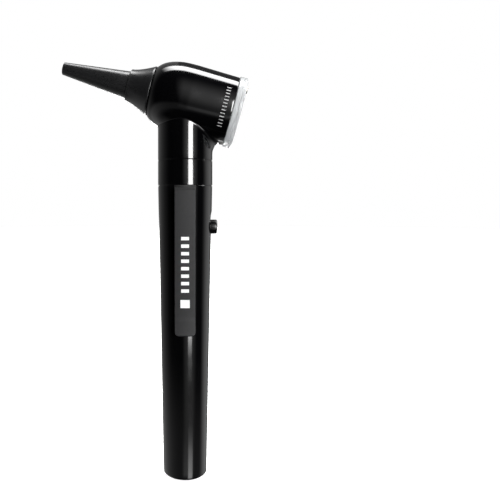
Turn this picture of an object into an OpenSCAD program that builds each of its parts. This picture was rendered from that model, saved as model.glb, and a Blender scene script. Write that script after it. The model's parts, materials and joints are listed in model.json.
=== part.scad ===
// Pocket otoscope: a battery handle with a pocket clip and a slide switch, a screw-on
// head with a hinged magnifying lens, and a push-on ear speculum.
// Millimetres. +Z runs up the handle from the centre of its flat foot. The ear
// speculum points to -X, the viewing lens to +X, and the pocket clip is on the -Y side.

/* [Handle] */
// Radius of the handle at its flat foot
handle_foot_r = 8.9; // [8.7:0.05:9.2]
// Radius of the handle at its upper end, and of the collar and neck above it
handle_top_r = 10.95; // [10.9:0.05:11.3]
// Height of the moulded handle, up to the seam under the collar
handle_h = 116.4; // [116:0.1:117]
// Radius of the rounded edge round the foot
foot_edge_r = 1.0; // [0.5:0.1:1.2]
// Radius of the bore that holds the two cells
cell_bore_r = 7.5; // [7.4:0.05:7.6]
// Thickness of the closed lower end
foot_floor = 2.0; // [1.6:0.1:2.4]

/* [Collar and thread] */
// Height of the plain collar above the handle
collar_h = 10.0; // [9:0.1:10.5]
// Outer radius of the metal spigot that carries the head
spigot_r = 8.55; // [8.4:0.05:8.6]
// Lead of the head thread for one turn
thread_lead = 2.5; // [2:0.25:2.5]
// Number of turns that take the head off
thread_turns = 3; // [3:1:3]

/* [Pocket clip] */
// Width of the clip strip
clip_w = 8.0; // [7:0.1:8.5]
// Thickness of the clip strip
clip_t = 1.0; // [0.8:0.1:1.1]
// How far the clip stands out from the handle at the top
clip_reach = 3.4; // [3:0.1:4]
// Height of the fold above the turned-out end
clip_fold_z = 64.4; // [60:0.1:70]
// Height of the lower end of the clip
clip_end_z = 58.5; // [55:0.1:59]
// How far the lower end is turned out
clip_flare = 2.7; // [2:0.1:3]

/* [Slide switch] */
// Radius of the round thumb button
button_r = 2.9; // [2.6:0.05:3]
// Height of the button's centre in the off position
button_z = 100.0; // [99.5:0.1:100.5]
// Distance of the button's face from the handle's axis
button_face_x = 12.9; // [12.5:0.1:13.2]
// Travel of the button from off to on
button_travel = 3.0; // [2.5:0.1:3]
// Clearance round the button in its recess
recess_gap = 0.3; // [0.2:0.05:0.4]

/* [Head] */
// Height at which the viewing axis crosses the handle's axis
head_z = 151.0; // [150.5:0.1:151.5]
// Upward tilt of the speculum end of the viewing axis
head_tilt = 14.5; // [14:0.5:15]
// Largest radius of the head barrel
barrel_r = 14.2; // [14:0.05:14.4]
// Radius of the barrel's rear face
barrel_rear_r = 13.6; // [13.4:0.05:13.8]
// Radius of the barrel's front face
barrel_front_r = 10.0; // [9.8:0.05:10.2]
// Distance of the front face ahead of the crossing point
barrel_front = 13.3; // [13.1:0.1:13.5]
// Distance of the rear face behind the crossing point
barrel_rear = 19.0; // [18.8:0.1:19.2]
// Wall thickness of the barrel
barrel_wall = 1.8; // [1.6:0.1:2]
// Outer radius of the air port for the insufflator bulb
port_r = 2.85; // [2.6:0.05:3]
// Bore radius of the air port
port_bore_r = 1.5; // [1.3:0.05:1.6]
// Distance of the air port's end from the middle plane
port_end_y = 16.0; // [15.6:0.1:16.4]

/* [Viewing lens] */
// Outer radius of the clear lens ring
lens_ring_r = 14.1; // [13.8:0.05:14.3]
// Thickness of the lens ring
lens_ring_t = 3.2; // [3:0.1:3.4]
// Radius of the ground lens inside the ring
lens_r = 10.9; // [10.6:0.05:11]
// Height of the pivot above the ring's centre
pivot_v = 9.9; // [9.7:0.05:10]
// Radius of the pivot boss on the ring
pivot_boss_r = 2.1; // [2:0.05:2.2]
// Radius of the pivot screw's shank
pivot_r = 1.0; // [0.9:0.05:1.1]

/* [Ear speculum] */
// Radius of the wide rim
speculum_rim_r = 9.8; // [9.6:0.05:10]
// Radius at the foot of the flare, ahead of the step
flare_foot_r = 6.45; // [6.3:0.05:6.6]
// Radius where the long cone begins
cone_r = 5.5; // [5.4:0.05:5.6]
// Outer radius of the tip
tip_r = 2.5; // [2.45:0.05:2.6]
// Bore radius of the tip
tip_bore_r = 2.0; // [1.9:0.05:2.05]
// Distance of the tip ahead of the crossing point
tip_u = 50.5; // [50:0.1:51]

/* [Cells] */
// Radius of an AA cell
cell_r = 7.1; // [7:0.05:7.15]
// Length of an AA cell with its button
cell_len = 50.5; // [50:0.1:50.5]

/* [Hidden] */
$fn = 96;
fit = 0.02;          // gap between parts pressed into each other
slip = 0.05;         // gap between parts that move on each other
cut = 1;             // overrun of cutting bodies past the face they open

collar_top_z = handle_h + collar_h;
lift = thread_lead * thread_turns;
spigot_top_z = collar_top_z + lift;
spigot_skirt = 7.9;  // depth of the spigot below the seam
seam_chamfer = 0.15; // broken edge on each side of a seam

// cells and their contacts
plate_t = 0.6;
spring_h = 11.4;
spring_wire_r = 0.4;
cell_z = foot_floor + plate_t + spring_h;
nub_r = 2.65;
nub_h = 1.2;
strip_w = 3.0;
strip_x0 = 7.55;     // inner face of the contact strips
strip_t = 0.35;
strip_lower_end = button_z + 1.2;
strip_upper_start = button_z + 4.4;

// slide switch, from the outside inwards
recess_r = button_r + recess_gap;
recess_floor_x = 9.75;
stem_w = 2.8;
stem_h = 3.4;
slider_x = [8.32, 9.10];
slider_w = 5.0;
slider_h = 5.6;
leaf_x = [7.95, 8.30];
leaf_w = 2.6;
leaf_h = 4.8;
pocket_x = 9.15;     // outer wall of the pocket inside the handle

// pocket clip, as distances outwards along -Y
clip_out = handle_top_r + clip_reach - clip_t / 2;
clip_bend_r = 1.0;
tab_z = handle_h - clip_t / 2;
tab_inner = 8.95;
hinge_z = tab_z - clip_bend_r - clip_t / 2 - 0.1;

// neck and lamp
neck_z = collar_top_z + slip;
seal_r = 10.3;
seal_h = 0.52;
seal_bore_r = 8.75;
insert_r = 9.8;
insert_z = collar_top_z + 0.65;
insert_top_z = 134.4;
shelf_z = 135.4;
thread_crest_r = 8.6;
thread_root_r = 8.15;
lamp_hole_r = 4.3;
lamp_r = 3.9;
stem_r = 6.8;
stem_z = 118;
lamp_seat_z = 126;
pin_r = 1.5;

// head, in its own frame: Z runs rearward along the viewing axis
dome_u = -1;
dome_a = 13;
dome_b = 6.21;
front_wall = 1.8;
seat_r = 7.9;
port_u = 5.4;
lug_r = 2.3;
lug_len = 7;
gasket_r = [12.1, 13.0];
gasket_t = 0.5;
lens_u = barrel_rear + 0.1;
ring_top_u = lens_u + lens_ring_t;
screw_head_r = 1.75;
rim_u = -13.8;
flare_u = -23.2;
cone_u = -23.7;
seat_tip_u = -34.5;

// ---------------------------------------------------------------- helpers

function handle_r(z) = handle_foot_r + (handle_top_r - handle_foot_r) * z / handle_h;

// points of an arc from angle a0 to a1
function arc(cx, cy, r, a0, a1, n) =
    [for (i = [0:n]) let (a = a0 + (a1 - a0) * i / n) [cx + r * cos(a), cy + r * sin(a)]];

function unit(v) = v / norm(v);
function left_of(v) = [-v[1], v[0]];

// mitred side of a strip that follows a line of points
function strip_side(p, half) = [for (i = [0:len(p) - 1])
    let (before = unit(p[max(i, 1)] - p[max(i, 1) - 1]),
         after = unit(p[min(i + 1, len(p) - 1)] - p[min(i, len(p) - 2)]),
         mid = unit(left_of(before) + left_of(after)))
    p[i] + mid * half / (mid * left_of(after))];

function reversed(p) = [for (i = [len(p) - 1:-1:0]) p[i]];

// strip of even thickness along a line of points, in the plane it is drawn in
module strip_outline(p, t) {
    polygon(concat(strip_side(p, t / 2), reversed(strip_side(p, -t / 2))));
}

module tube(r, bore, z0, z1) {
    difference() {
        translate([0, 0, z0]) cylinder(r = r, h = z1 - z0);
        translate([0, 0, z0 - cut]) cylinder(r = bore, h = z1 - z0 + 2 * cut);
    }
}

module box(x, y, z) {
    translate([x[0], y[0], z[0]]) cube([x[1] - x[0], y[1] - y[0], z[1] - z[0]]);
}

// draws its children in the frame of the head: Z rearward along the viewing axis,
// -X upwards across it
module on_head() {
    translate([0, 0, head_z]) rotate([0, 90 + head_tilt, 0]) children();
}

// side plane drawn with x as the distance outwards from the axis along -Y and y as height
module on_clip_plane(w) {
    translate([-w / 2, 0, 0]) rotate([90, 0, -90]) mirror([0, 0, 1]) linear_extrude(w) children();
}

// round wire wound into a cylindrical or conical coil
module coil(r0, r1, z0, z1, wire_r, turns) {
    sides = 8;
    steps = turns * 14;
    ring = [for (i = [0:steps]) let (t = i / steps, a = 360 * turns * t, r = r0 + (r1 - r0) * t)
        for (k = [0:sides - 1]) let (b = 360 * k / sides, q = r + wire_r * cos(b))
            [q * cos(a), q * sin(a), z0 + (z1 - z0) * t + wire_r * sin(b)]];
    sides_faces = [for (i = [0:steps - 1], k = [0:sides - 1]) let (k2 = (k + 1) % sides)
        [i * sides + k, i * sides + k2, (i + 1) * sides + k2, (i + 1) * sides + k]];
    start = [for (k = [sides - 1:-1:0]) k];
    end = [for (k = [0:sides - 1]) steps * sides + k];
    polyhedron(ring, concat([start], sides_faces, [end]));
}

// ---------------------------------------------------------------- handle

// stadium-shaped hole for the button, from x outwards, over its whole travel
module button_track(r, x, depth) {
    for (dz = [0, button_travel])
        translate([x, 0, button_z + dz]) rotate([0, 90, 0]) cylinder(r = r, h = depth);
    box([x, x + depth], [-r, r], [button_z, button_z + button_travel]);
}

module handle_shell() color("#141414") {
    difference() {
        rotate_extrude() polygon(concat(
            [[0, 0]],
            arc(handle_foot_r - foot_edge_r, foot_edge_r, foot_edge_r, -90, 0, 8),
            [[handle_top_r - seam_chamfer / 4, handle_h - seam_chamfer],
             [handle_top_r - seam_chamfer, handle_h], [0, handle_h]]));
        translate([0, 0, foot_floor]) cylinder(r = cell_bore_r, h = handle_h);
        translate([0, 0, handle_h - spigot_skirt]) cylinder(r = spigot_r + fit, h = spigot_skirt + cut);
        // groove for the contact strips, down to the bottom contact
        box([0, strip_x0 + strip_t + slip], [-strip_w / 2 - slip, strip_w / 2 + slip],
            [foot_floor, handle_h - spigot_skirt]);
        // pocket for the slider, slot for its stem and recess for the button
        box([0, pocket_x], [-slider_w / 2 - 0.2, slider_w / 2 + 0.2],
            [button_z - slider_h / 2 - 0.4, button_z + button_travel + slider_h / 2 + 0.4]);
        box([0, recess_floor_x + cut], [-stem_w / 2 - slip, stem_w / 2 + slip],
            [button_z - stem_h / 2 - 0.1, button_z + button_travel + stem_h / 2 + 0.1]);
        button_track(recess_r, recess_floor_x, 3);
        // slot in the upper edge for the clip's tab
        box([-clip_w / 2 - slip, clip_w / 2 + slip], [-handle_top_r - cut, -tab_inner + slip],
            [handle_h - clip_t - fit, handle_h + cut]);
    }
}

module bottom_contact() color("#b9a26a") {
    translate([0, 0, foot_floor]) cylinder(r = cell_bore_r - 0.1, h = plate_t);
    box([5, strip_x0 + strip_t], [-strip_w / 2, strip_w / 2], [foot_floor, foot_floor + plate_t]);
}

module battery_spring() color("#b8bcc0")
    coil(6.2, 2.6, foot_floor + plate_t + spring_wire_r + fit, cell_z - spring_wire_r - fit,
         spring_wire_r, 5);

module cell(z) {
    rotate_extrude() polygon(concat(
        [[0, z]],
        arc(cell_r - 0.4, z + 0.4, 0.4, -90, 0, 4),
        arc(cell_r - 0.4, z + cell_len - nub_h - 0.4, 0.4, 0, 90, 4),
        [[nub_r, z + cell_len - nub_h], [nub_r, z + cell_len], [0, z + cell_len]]));
}

module battery_lower() color("#3f5f86") cell(cell_z);
module battery_upper() color("#3f5f86") cell(cell_z + cell_len);

module contact_strip(z0, z1)
    box([strip_x0, strip_x0 + strip_t], [-strip_w / 2, strip_w / 2], [z0, z1]);

module lower_contact_strip() color("#b9a26a") contact_strip(foot_floor + plate_t, strip_lower_end);

module upper_contact_strip() color("#b9a26a")
    contact_strip(strip_upper_start, handle_h - spigot_skirt);

module threaded_spigot() color("#a9adb2") {
    ring_h = thread_lead / 2;
    difference() {
        union() {
            translate([0, 0, handle_h - spigot_skirt])
                cylinder(r = spigot_r, h = spigot_skirt + collar_h);
            translate([0, 0, collar_top_z]) cylinder(r = thread_root_r, h = lift);
            for (i = [0:thread_turns - 1])
                translate([0, 0, collar_top_z + thread_lead * i + ring_h / 2])
                    cylinder(r = thread_crest_r, h = ring_h);
        }
        translate([0, 0, handle_h - spigot_skirt - cut])
            cylinder(r = cell_bore_r, h = spigot_skirt + collar_h + lift + 2 * cut);
    }
}

module collar_ring() color("#141414")
    rotate_extrude() polygon([
        [spigot_r + fit, handle_h], [handle_top_r - seam_chamfer, handle_h],
        [handle_top_r, handle_h + seam_chamfer], [handle_top_r, collar_top_z - seam_chamfer],
        [handle_top_r - seam_chamfer, collar_top_z], [spigot_r + fit, collar_top_z]]);

// ---------------------------------------------------------------- pocket clip

module clip_tab() color("#3b3b3b")
    on_clip_plane(clip_w) strip_outline(concat(
        [[tab_inner, tab_z]],
        reversed(arc(clip_out - clip_bend_r, tab_z - clip_bend_r, clip_bend_r, 0, 90, 8))), clip_t);

module pocket_clip() color("#3b3b3b") {
    fold_y = handle_r(clip_fold_z) + clip_t / 2 + slip;
    end_y = fold_y + clip_flare;
    corner = 1.6;
    difference() {
        union() {
            on_clip_plane(clip_w) strip_outline(
                [[clip_out, hinge_z], [fold_y, clip_fold_z], [end_y, clip_end_z]], clip_t);
            translate([-clip_w / 2, -clip_out, hinge_z]) rotate([0, 90, 0])
                cylinder(r = clip_t / 2, h = clip_w);
        }
        // rounded lower corners
        for (s = [-1, 1]) difference() {
            box([s > 0 ? clip_w / 2 - corner : -clip_w / 2 - cut, s > 0 ? clip_w / 2 + cut : corner - clip_w / 2],
                [-end_y - 2, -fold_y + 2], [clip_end_z - 2, clip_end_z + corner]);
            translate([s * (clip_w / 2 - corner), -end_y - 3, clip_end_z + corner])
                rotate([-90, 0, 0]) cylinder(r = corner, h = 8);
        }
    }
}

// ---------------------------------------------------------------- slide switch

module switch_button() color("#1b1b1b") {
    edge = 0.5;
    translate([0, 0, button_z]) rotate([0, 90, 0]) rotate_extrude() polygon(concat(
        [[0, recess_floor_x + slip], [button_r, recess_floor_x + slip]],
        arc(button_r - edge, button_face_x - edge, edge, 0, 90, 5), [[0, button_face_x]]));
    box([slider_x[1], recess_floor_x + 0.5], [-stem_w / 2, stem_w / 2],
        [button_z - stem_h / 2, button_z + stem_h / 2]);
}

module switch_slider() color("#c9c5b8")
    box(slider_x, [-slider_w / 2, slider_w / 2], [button_z - slider_h / 2, button_z + slider_h / 2]);

module switch_leaf() color("#b9a26a")
    box([leaf_x[0], slider_x[0]], [-leaf_w / 2, leaf_w / 2], [button_z - leaf_h / 2, button_z + leaf_h / 2]);

// ---------------------------------------------------------------- head

module neck_seal() color("#0c0c0c")
    tube(seal_r, seal_bore_r, collar_top_z + 0.03, collar_top_z + 0.03 + seal_h);

// outer outline of the barrel from the front face back
function dome_r(u) = barrel_r - dome_b * (1 - sqrt(1 - pow((u - dome_u) / dome_a, 2)));
dome_end = asin((barrel_front + dome_u) / dome_a);
function barrel_outline(inset) = concat(
    [for (i = [12:-1:0]) let (t = dome_end * i / 12)
        [barrel_r - dome_b * (1 - cos(t)) - inset, dome_u - dome_a * sin(t)]],
    [[barrel_r - inset, 2], [barrel_rear_r - inset, barrel_rear]]);

module head_shell() color("#141414") {
    difference() {
        union() {
            on_head() rotate_extrude() polygon(concat(
                [[0, -barrel_front]], barrel_outline(0), [[0, barrel_rear]]));
            translate([0, 0, neck_z]) cylinder(r = handle_top_r, h = head_z - neck_z - 6);
            rear_gusset();
        }
        // inside of the barrel, open to the rear and through the front wall
        difference() {
            on_head() rotate_extrude() polygon(concat(
                [[0, front_wall - barrel_front]],
                [for (p = barrel_outline(barrel_wall)) if (p[1] > front_wall - barrel_front) p],
                [[barrel_rear_r - barrel_wall, barrel_rear + cut], [0, barrel_rear + cut]]));
            on_head() translate([-pivot_v, 0, barrel_rear - lug_len]) cylinder(r = lug_r, h = lug_len + 2 * cut);
        }
        on_head() translate([0, 0, -barrel_front - cut]) cylinder(r = seat_r, h = front_wall + 2 * cut);
        on_head() translate([-pivot_v, 0, barrel_rear - lug_len - cut])
            cylinder(r = pivot_r + fit, h = lug_len + 2 * cut);
        on_head() translate([0, 0, barrel_rear - gasket_t])
            tube(gasket_r[1] + fit, gasket_r[0] - fit, 0, gasket_t + cut);
        on_head() translate([0, 0, port_u]) rotate([-90, 0, 0]) cylinder(r = port_r - 0.6, h = port_end_y + cut);
        // neck, from below: seal, thread insert, lamp shelf
        translate([0, 0, neck_z - cut]) cylinder(r = seal_r + slip, h = insert_z - neck_z + cut);
        translate([0, 0, neck_z]) cylinder(r = insert_r + fit, h = shelf_z - neck_z);
        translate([0, 0, neck_z]) cylinder(r = lamp_hole_r, h = 14);
    }
}

// curved web between the neck and the lower rear corner of the barrel
module rear_gusset() {
    w = 7;
    r = 3.9;
    corner_x = (barrel_rear - 0.1) * cos(head_tilt) - barrel_rear_r * sin(head_tilt);
    corner_z = head_z - (barrel_rear - 0.1) * sin(head_tilt) - barrel_rear_r * cos(head_tilt);
    translate([0, w / 2, 0]) rotate([90, 0, 0]) linear_extrude(w) polygon(concat(
        [[handle_top_r - 1, corner_z - r]],
        [for (p = arc(handle_top_r + r, corner_z - r, r, 180, 90, 8)) if (p[0] <= corner_x) p],
        [[corner_x, corner_z + 0.5], [handle_top_r - 1, corner_z + 2]]));
}

module head_thread_insert() color("#b59a5c") {
    ring_h = thread_lead / 2;
    difference() {
        tube(insert_r, thread_crest_r + 0.06, insert_z, insert_top_z);
        for (i = [0:thread_turns - 1])
            translate([0, 0, collar_top_z + thread_lead * i + ring_h / 2 + 0.4])
                cylinder(r = thread_crest_r + 0.4, h = ring_h);
    }
}

module lamp_holder() color("#d8d2c4") {
    difference() {
        union() {
            translate([0, 0, stem_z]) cylinder(r = stem_r, h = insert_top_z - stem_z);
            translate([0, 0, insert_top_z]) cylinder(r = insert_r - 0.2, h = shelf_z - insert_top_z);
        }
        translate([0, 0, stem_z - cut]) cylinder(r = pin_r + fit, h = lamp_seat_z - stem_z + 2 * cut);
        translate([0, 0, lamp_seat_z]) cylinder(r = lamp_r + fit, h = shelf_z - lamp_seat_z + cut);
    }
}

module lamp_base() color("#b9a26a")
    rotate_extrude() polygon([
        [0, lamp_seat_z], [lamp_r - 0.5, lamp_seat_z], [lamp_r, lamp_seat_z + 0.5],
        [lamp_r, lamp_seat_z + 9.4], [3.1, lamp_seat_z + 10], [0, lamp_seat_z + 10]]);

module lamp_glass() color("#dfe8ee", 0.5)
    rotate_extrude() polygon(concat(
        [[0, lamp_seat_z + 10]], arc(0, lamp_seat_z + 10.6, 2.9, 0, 90, 10)));

module centre_contact() color("#b9a26a") {
    nub_top = cell_z + 2 * cell_len;
    translate([0, 0, nub_top + slip]) cylinder(r = 2.2, h = stem_z - nub_top - slip);
    translate([0, 0, nub_top + 1]) cylinder(r = pin_r, h = lamp_seat_z - nub_top - 1);
}

// light guide: up from the lamp, along the floor of the barrel and through the nose's
// mouth, then round the viewing channel as a thin cone
module fibre_bundle() color("#e8e4d0") {
    run = [[10.99, 2.84], [9.5, 2.45], [9, -2.5], [8.2, -7.5], [6.05, -11.6], [5.4, -15.5], [3.1, -20.6]];
    rod_r = 0.9;
    on_head() {
        for (i = [0:len(run) - 2]) {
            from = [run[i][0], 0, run[i][1]];
            to = [run[i + 1][0], 0, run[i + 1][1]];
            along = to - from;
            translate(from) rotate([0, atan2(along[0], along[2]), 0]) cylinder(r = rod_r, h = norm(along));
            if (i > 0) translate(from) sphere(r = rod_r + 0.08);
        }
        rotate_extrude() polygon([[3.66, -20.6], [4.14, -20.6], [2.74, -34.1], [2.34, -34.1]]);
    }
}

module fibre_tip_ring() color("#f4f2e8")
    on_head() tube(2.74, 2.34, seat_tip_u, -34.1);

// hollow nose that carries the speculum and the light guide
module speculum_seat() color("#1d1d1d") {
    u0 = front_wall - barrel_front;
    on_head() rotate_extrude() polygon([
        [seat_r - fit, u0], [seat_r - fit, -barrel_front], [8.6, -barrel_front], [8.3, -14.6],
        [6.9, -17.7], [6.05, -19.7], [5.2, -22.5], [4.4, -24.2], [3.95, -26.7],
        [3.05, seat_tip_u], [2.76, seat_tip_u], [4.2, -20.6], [6.6, -15.5], [7.3, u0]]);
}

module insufflation_port() color("#1d1d1d")
    on_head() translate([0, 0, port_u]) rotate([-90, 0, 0]) difference() {
        union() {
            cylinder(r = port_r - 0.6 - fit, h = port_end_y);
            translate([0, 0, barrel_r + 0.25]) cylinder(r = port_r, h = port_end_y - barrel_r - 0.25);
        }
        translate([0, 0, -cut]) cylinder(r = port_bore_r, h = port_end_y + 2 * cut);
        cylinder(r = port_r + cut, h = barrel_r - barrel_wall - 0.6);
    }

module lens_gasket() color("#0c0c0c")
    on_head() tube(gasket_r[1], gasket_r[0], barrel_rear - gasket_t, barrel_rear + 0.05);

// ---------------------------------------------------------------- viewing lens

module lens_ring() color("#dfe8ee", 0.6)
    on_head() difference() {
        union() {
            tube(lens_ring_r, lens_r, lens_u, ring_top_u);
            translate([-pivot_v, 0, lens_u]) cylinder(r = pivot_boss_r, h = lens_ring_t);
        }
        translate([-pivot_v, 0, lens_u - cut]) cylinder(r = pivot_r + slip, h = lens_ring_t + 2 * cut);
    }

module magnifier_lens() color("#eef4f7", 0.4) {
    sag = 0.9;
    edge = 0.55;
    mid = lens_u + lens_ring_t / 2;
    r = lens_r - fit;
    ball = (r * r + sag * sag) / (2 * sag);
    half_angle = asin(r / ball);
    on_head() difference() {
        rotate_extrude() polygon(concat(
            arc(0, mid + edge + sag - ball, ball, 90, 90 - half_angle, 6),
            arc(0, mid - edge - sag + ball, ball, half_angle - 90, -90, 6)));
        translate([-pivot_v, 0, mid - 5]) cylinder(r = pivot_boss_r + fit, h = 10);
    }
}

module lens_pivot_screw() color("#c9ccd0")
    on_head() translate([-pivot_v, 0, 0]) difference() {
        union() {
            translate([0, 0, barrel_rear - lug_len + 0.6]) cylinder(r = pivot_r, h = ring_top_u - barrel_rear + lug_len);
            translate([0, 0, ring_top_u + 0.3]) cylinder(r = screw_head_r, h = 0.7);
        }
        translate([0, 0, ring_top_u + 0.4]) cylinder(r = 0.8, h = cut);
    }

module pivot_washer() color("#c9ccd0")
    on_head() translate([-pivot_v, 0, 0]) tube(1.95, pivot_r + fit, ring_top_u + slip, ring_top_u + 0.3);

// ---------------------------------------------------------------- ear speculum

function flare_r(u) = flare_foot_r
    + (speculum_rim_r - flare_foot_r) * pow((u - flare_u) / (rim_u - 0.5 - flare_u), 1.4);

module ear_speculum() color("#2b2b2b") {
    wall = 0.8;
    flare_steps = 8;
    tip = -tip_u;
    on_head() rotate_extrude() polygon(concat(
        [[speculum_rim_r - wall, rim_u], [speculum_rim_r - 0.2, rim_u], [speculum_rim_r, rim_u - 0.2]],
        [for (i = [0:flare_steps]) let (u = rim_u - 0.5 + (flare_u - rim_u + 0.5) * i / flare_steps)
            [flare_r(u), u]],
        [[cone_r, cone_u]],
        arc(tip_r - 0.25, tip + 0.25, 0.25, 0, -90, 4),
        [[tip_bore_r, tip], [tip_bore_r, tip + 3.5]],
        [[cone_r - wall, cone_u - 0.5], [5.75, -22.5], [6.55, -19.7], [7.45, -17.7], [8.75, -14.8]]));
}

handle_shell();
bottom_contact();
battery_spring();
battery_lower();
battery_upper();
lower_contact_strip();
upper_contact_strip();
threaded_spigot();
collar_ring();
clip_tab();
pocket_clip();
switch_button();
switch_slider();
switch_leaf();
neck_seal();
head_shell();
head_thread_insert();
lamp_holder();
lamp_base();
lamp_glass();
centre_contact();
fibre_bundle();
fibre_tip_ring();
speculum_seat();
insufflation_port();
lens_gasket();
lens_pivot_screw();
pivot_washer();
lens_ring();
magnifier_lens();
ear_speculum();
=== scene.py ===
"""Pocket otoscope: outer shells, clip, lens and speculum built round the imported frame."""

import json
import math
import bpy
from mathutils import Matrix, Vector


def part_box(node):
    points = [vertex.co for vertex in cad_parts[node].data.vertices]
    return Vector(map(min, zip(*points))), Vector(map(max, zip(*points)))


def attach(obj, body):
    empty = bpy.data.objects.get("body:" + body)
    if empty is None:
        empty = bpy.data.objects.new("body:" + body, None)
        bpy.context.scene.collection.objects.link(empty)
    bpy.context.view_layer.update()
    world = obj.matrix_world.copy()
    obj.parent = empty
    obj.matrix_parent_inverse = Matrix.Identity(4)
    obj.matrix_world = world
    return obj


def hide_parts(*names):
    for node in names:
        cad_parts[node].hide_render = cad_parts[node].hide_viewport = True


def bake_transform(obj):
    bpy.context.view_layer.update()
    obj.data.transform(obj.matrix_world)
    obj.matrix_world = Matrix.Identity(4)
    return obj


bl_info = {
    "name": "Pocket otoscope",
    "version": (1, 0, 0),
    "blender": (4, 5, 0),
    "location": "View3D > Sidebar > Otoscope",
    "description": "Builds a pocket otoscope round its packed frame",
    "category": "Object",
}

import bmesh
import bpy
import numpy as np
from mathutils import Matrix, Vector

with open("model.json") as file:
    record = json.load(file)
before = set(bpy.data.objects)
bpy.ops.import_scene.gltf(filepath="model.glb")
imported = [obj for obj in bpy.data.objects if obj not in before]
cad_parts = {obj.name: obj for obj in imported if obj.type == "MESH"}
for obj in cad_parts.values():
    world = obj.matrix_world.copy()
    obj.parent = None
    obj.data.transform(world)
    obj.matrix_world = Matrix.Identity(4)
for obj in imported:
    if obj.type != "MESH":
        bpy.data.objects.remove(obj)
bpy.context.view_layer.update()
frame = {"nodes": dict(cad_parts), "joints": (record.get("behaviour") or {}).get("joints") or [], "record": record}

MM = 0.001
JOINTS = {joint["name"]: joint for joint in frame["joints"]}
HANDLE_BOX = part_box("handle_shell")
COLLAR_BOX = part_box("collar_ring")
BUTTON_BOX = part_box("switch_button")
CLIP_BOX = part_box("pocket_clip")
TAB_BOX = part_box("clip_tab")
RING_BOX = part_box("lens_ring")
PORT_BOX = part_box("insufflation_port")
TAB_R = HANDLE_BOX[1].y

# The viewing axis points rearward through the middle of the lens ring and crosses the
# handle's axis at HEAD_CENTRE. In the head's own frame X runs across it, Y up and Z back.
VIEW_AXIS = Vector(JOINTS["lens_swivel"]["axis"]).normalized()
ACROSS = Vector((0, 1, 0))
HEAD_UP = VIEW_AXIS.cross(ACROSS).normalized()
RING_CENTRE = (RING_BOX[0] + RING_BOX[1]) / 2
HEAD_CENTRE = RING_CENTRE - VIEW_AXIS * (RING_CENTRE.x / VIEW_AXIS.x)
HEAD = Matrix((
    (ACROSS.x, HEAD_UP.x, VIEW_AXIS.x, HEAD_CENTRE.x),
    (ACROSS.y, HEAD_UP.y, VIEW_AXIS.y, HEAD_CENTRE.y),
    (ACROSS.z, HEAD_UP.z, VIEW_AXIS.z, HEAD_CENTRE.z),
    (0, 0, 0, 1),
))
PIVOT = HEAD.inverted() @ Vector(JOINTS["lens_swivel"]["pos_m"])


# ------------------------------------------------------------------ sizes and colours

def srgb(code):
    """Linear colour with alpha 1 from an sRGB hex code such as '#1a2b3c'."""
    parts = [int(code[i:i + 2], 16) / 255 for i in (1, 3, 5)]
    linear = [p / 12.92 if p <= 0.04045 else ((p + 0.055) / 1.055) ** 2.4 for p in parts]
    return (*linear, 1.0)


def length(name, description, default):
    """A length property, in metres, from a default in millimetres."""
    return bpy.props.FloatProperty(
        name=name, description=description, default=default * MM, unit="LENGTH", precision=5)


def colour(name, description, code):
    """A colour property from an sRGB hex code."""
    return bpy.props.FloatVectorProperty(
        name=name, description=description, default=srgb(code)[:3], subtype="COLOR",
        size=3, min=0, max=1)


class HandleSizes(bpy.types.PropertyGroup):
    """Sizes of the handle, the collar and the slide switch."""

    foot_r: length("Foot radius", "Radius of the handle at its flat foot", 8.9)
    foot_edge: length("Foot edge", "Rounding of the edge round the foot", 1.0)
    bore_r: length("Cell bore", "Radius of the bore that holds the cells", 7.5)
    floor: length("Floor", "Thickness of the closed lower end", 2.0)
    seam_edge: length("Seam edge", "Rounding on each side of a seam", 0.2)
    spigot_r: length("Spigot seat", "Radius of the seat of the metal spigot", 8.57)
    skirt: length("Spigot depth", "Depth of the spigot's seat", 7.9)
    recess_gap: length("Recess gap", "Space round the button in its recess", 0.3)
    recess_floor: length("Recess floor", "Distance of the recess's floor from the axis", 9.75)
    travel: length("Switch travel", "Travel of the thumb button", 3.0)


class HeadSizes(bpy.types.PropertyGroup):
    """Sizes of the head's barrel and neck."""

    barrel_r: length("Barrel radius", "Largest radius of the barrel", 14.2)
    rear_r: length("Rear radius", "Radius of the barrel's rear face", 13.6)
    front: length("Front face", "Distance of the front face ahead of the handle's axis", 13.3)
    rear: length("Rear face", "Distance of the rear face behind the handle's axis", 19.0)
    dome_drop: length("Dome depth", "Half-height of the ellipse of the front dome", 6.21)
    dome_len: length("Dome length", "Half-length of the ellipse of the front dome", 13.0)
    dome_end: length("Dome end", "Where the dome ends, ahead of the handle's axis", 1.0)
    wall: length("Wall", "Thickness of the barrel's wall", 1.8)
    seat_r: length("Seat radius", "Radius of the hole in the front wall", 7.9)
    edge: length("Edge", "Rounding of the barrel's front and rear edges", 0.3)
    fillet: length("Side fillet", "Radius of the fillet at the neck's sides", 0.7)
    heel: length("Heel fillet", "Radius of the fillet under the rear of the barrel", 2.9)
    heel_drop: length("Heel drop", "Extra length of the heel down the neck", 1.2)
    neck_bore: length("Neck bore", "Radius of the bore in the neck", 9.82)
    shelf: length("Lamp shelf", "Height of the top of the neck's bore", 135.4)


class LensSizes(bpy.types.PropertyGroup):
    """Sizes of the lens ring, the lens and the pivot."""

    lens_r: length("Lens radius", "Radius of the ground lens", 10.9)
    boss_r: length("Boss radius", "Radius of the boss round the pivot", 2.1)
    pivot_r: length("Pivot radius", "Radius of the pivot's shank", 1.0)
    rivet_r: length("Rivet radius", "Radius of the pivot's head", 1.75)
    line: length("Turned line", "Depth of the fine line turned round the ring", 0.2)
    sag: length("Lens crown", "Height of each crowned face of the lens", 0.9)


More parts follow.
